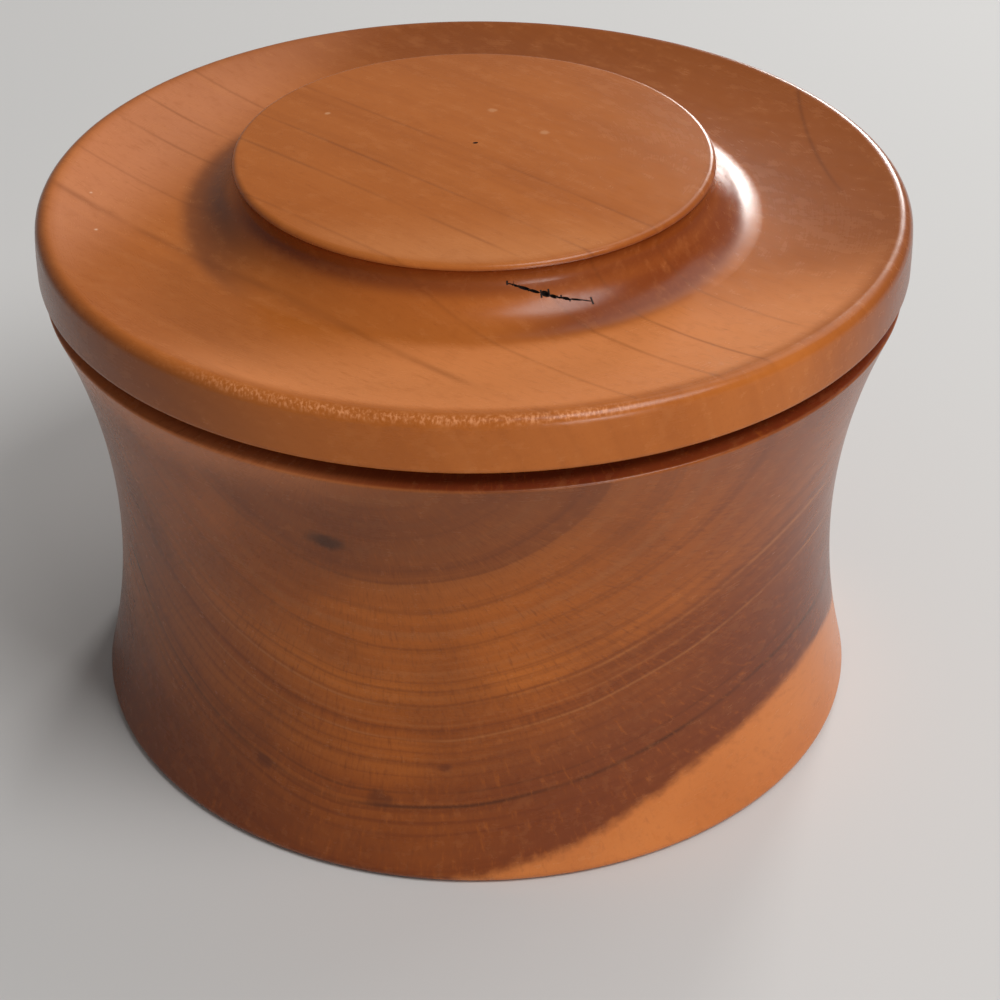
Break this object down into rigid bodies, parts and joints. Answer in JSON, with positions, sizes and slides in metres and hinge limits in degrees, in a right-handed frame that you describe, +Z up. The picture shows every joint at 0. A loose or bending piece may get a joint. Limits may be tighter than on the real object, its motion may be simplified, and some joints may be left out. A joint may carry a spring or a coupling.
{
  "type": "turned wooden spice box",
  "caption": "Round turned wooden box with a waisted body and a lift-off lid with a raised disc knob.",
  "frame": {"origin": "middle of the foot, on the plane that the box stands on", "axes": "+Z up along the turning axis, towards the knob"},
  "size_m": [0.1292, 0.1292, 0.0894],
  "materials": {
    "body_wood": "oiled satin",
    "lid_wood": "oiled satin"
  },
  "bodies": {
    "body": {"box_body": "body_wood"},
    "lid": {"lid": "lid_wood"}
  },
  "joints": [
    {"name": "lid_lift", "type": "slide", "parent": "body", "child": "lid", "axis": [0, 0, 1], "range_m": [0, 0.08]}
  ]
}
